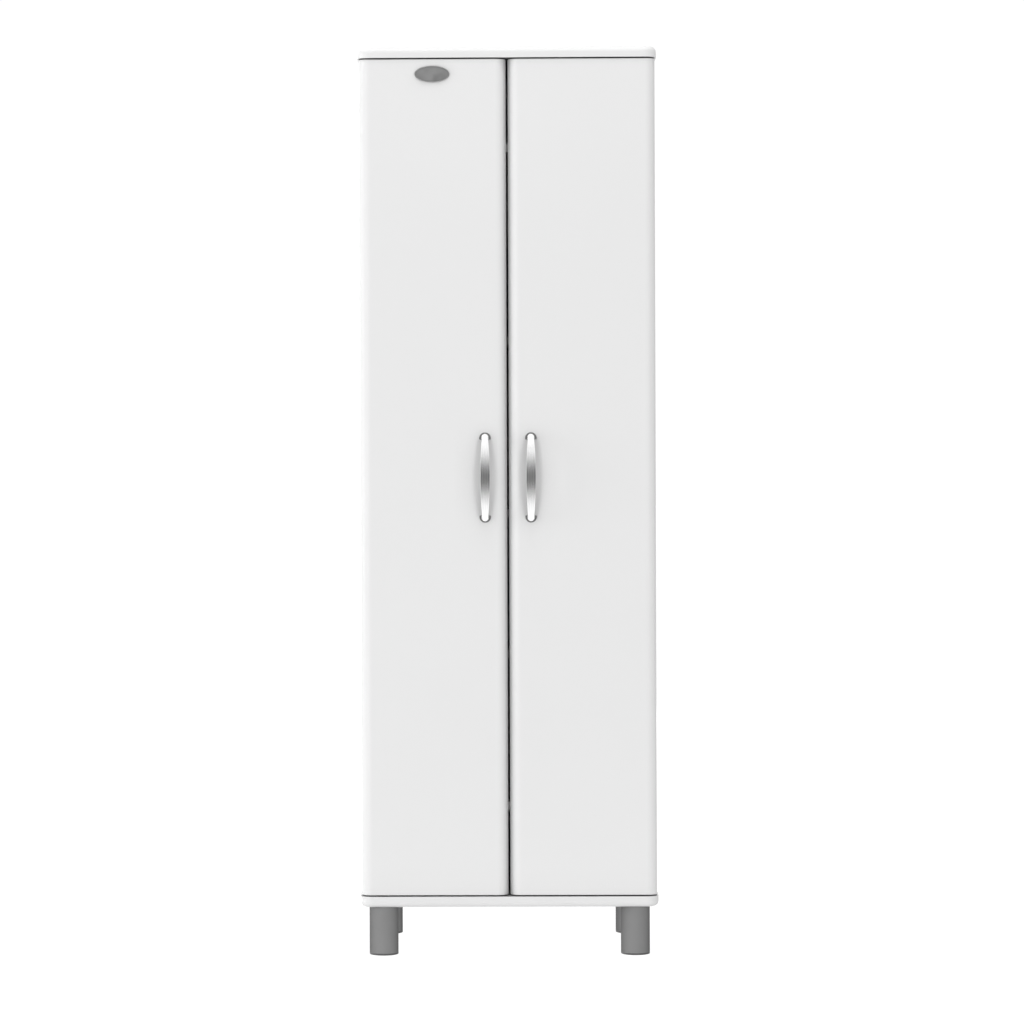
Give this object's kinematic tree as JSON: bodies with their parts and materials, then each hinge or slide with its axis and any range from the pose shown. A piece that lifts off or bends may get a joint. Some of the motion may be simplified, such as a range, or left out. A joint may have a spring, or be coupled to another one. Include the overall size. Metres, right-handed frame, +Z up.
{
  "type": "pantry cabinet",
  "caption": "Tall narrow white cabinet with two full-height doors on concealed hinges, bow handles, inside shelves and round legs.",
  "frame": {"origin": "on the floor, under the middle of the whole cabinet with its handles", "axes": "+Z up, doors face -Y, +X to the right when facing the doors"},
  "size_m": [0.606, 0.4365, 1.844],
  "materials": {
    "white_board": "white laminate, satin",
    "shelf_board": "white laminate, matt",
    "back_board": "white lacquered hardboard",
    "white_plastic": "matt",
    "zinc": "die-cast, dull",
    "steel": "zinc plated",
    "beech": "raw beech",
    "leg_grey": "satin grey",
    "black_plastic": "matt dark grey",
    "handle_metal": "satin chrome",
    "hinge_nickel": "nickel plated",
    "clear_rubber": "soft",
    "badge_metal": "satin"
  },
  "bodies": {
    "carcass": {"adjustable_shelf_lower": "shelf_board", "adjustable_shelf_middle": "shelf_board", "adjustable_shelf_upper": "shelf_board", "back_joint_strip": "white_plastic", "back_nails": "steel", "back_panel_lower": "back_board", "back_panel_upper": "back_board", "bottom_panel": "white_board", "cam_bolts": "steel", "cam_locks": "zinc", "fixed_shelf_lower": "shelf_board", "fixed_shelf_upper": "shelf_board", "foot_cap_front_left": "black_plastic", "foot_cap_front_right": "black_plastic", "foot_cap_rear_left": "black_plastic", "foot_cap_rear_right": "black_plastic", "hinge_arms_left": "hinge_nickel", "hinge_arms_right": "hinge_nickel", "hinge_plate_screws_left": "steel", "hinge_plate_screws_right": "steel", "hinge_plates_left": "hinge_nickel", "hinge_plates_right": "hinge_nickel", "leg_front_left": "leg_grey", "leg_front_right": "leg_grey", "leg_plate_front_left": "black_plastic", "leg_plate_front_right": "black_plastic", "leg_plate_rear_left": "black_plastic", "leg_plate_rear_right": "black_plastic", "leg_rear_left": "leg_grey", "leg_rear_right": "leg_grey", "leg_screws": "steel", "shelf_pins": "steel", "side_panel_left": "white_board", "side_panel_right": "white_board", "top_panel": "white_board", "wall_bracket_screws": "steel", "wall_brackets": "steel", "wood_dowels": "beech"},
    "door_left": {"door_left": "white_board", "handle_left": "handle_metal", "handle_feet_left": "handle_metal", "handle_screws_left": "steel", "bumpers_left": "clear_rubber", "hinge_cups_left": "hinge_nickel", "hinge_cup_screws_left": "steel", "badge": "badge_metal"},
    "outer_links_left": {"hinge_links_outer_left": "hinge_nickel"},
    "inner_links_left": {"hinge_links_inner_left": "hinge_nickel"},
    "door_right": {"door_right": "white_board", "handle_right": "handle_metal", "handle_feet_right": "handle_metal", "handle_screws_right": "steel", "bumpers_right": "clear_rubber", "hinge_cups_right": "hinge_nickel", "hinge_cup_screws_right": "steel"},
    "outer_links_right": {"hinge_links_outer_right": "hinge_nickel"},
    "inner_links_right": {"hinge_links_inner_right": "hinge_nickel"}
  },
  "joints": [
    {"name": "outer_links_left_swing", "type": "hinge", "parent": "carcass", "child": "outer_links_left", "pos_m": [-0.27399, -0.17208, 0.972], "axis": [0, 0, 1], "range_deg": [0, 38]},
    {"name": "inner_links_left_swing", "type": "hinge", "parent": "carcass", "child": "inner_links_left", "pos_m": [-0.26477, -0.17425, 0.972], "axis": [0, 0, 1], "range_deg": [0, 35.3]},
    {"name": "door_left_swing", "type": "hinge", "parent": "outer_links_left", "child": "door_left", "pos_m": [-0.29009, -0.17027, 0.972], "axis": [0, 0, -1], "range_deg": [0, 132.9]},
    {"name": "outer_links_right_swing", "type": "hinge", "parent": "carcass", "child": "outer_links_right", "pos_m": [0.27399, -0.17208, 0.972], "axis": [0, 0, -1], "range_deg": [0, 38]},
    {"name": "inner_links_right_swing", "type": "hinge", "parent": "carcass", "child": "inner_links_right", "pos_m": [0.26477, -0.17425, 0.972], "axis": [0, 0, -1], "range_deg": [0, 35.3]},
    {"name": "door_right_swing", "type": "hinge", "parent": "outer_links_right", "child": "door_right", "pos_m": [0.29009, -0.17027, 0.972], "axis": [0, 0, 1], "range_deg": [0, 132.9]}
  ],
  "couplings": [
    {"joint": "outer_links_left_swing", "follows": "door_left_swing", "ratio": 0.28518},
    {"joint": "inner_links_left_swing", "follows": "door_left_swing", "ratio": 0.26486},
    {"joint": "outer_links_right_swing", "follows": "door_right_swing", "ratio": 0.28518},
    {"joint": "inner_links_right_swing", "follows": "door_right_swing", "ratio": 0.26486}
  ]
}
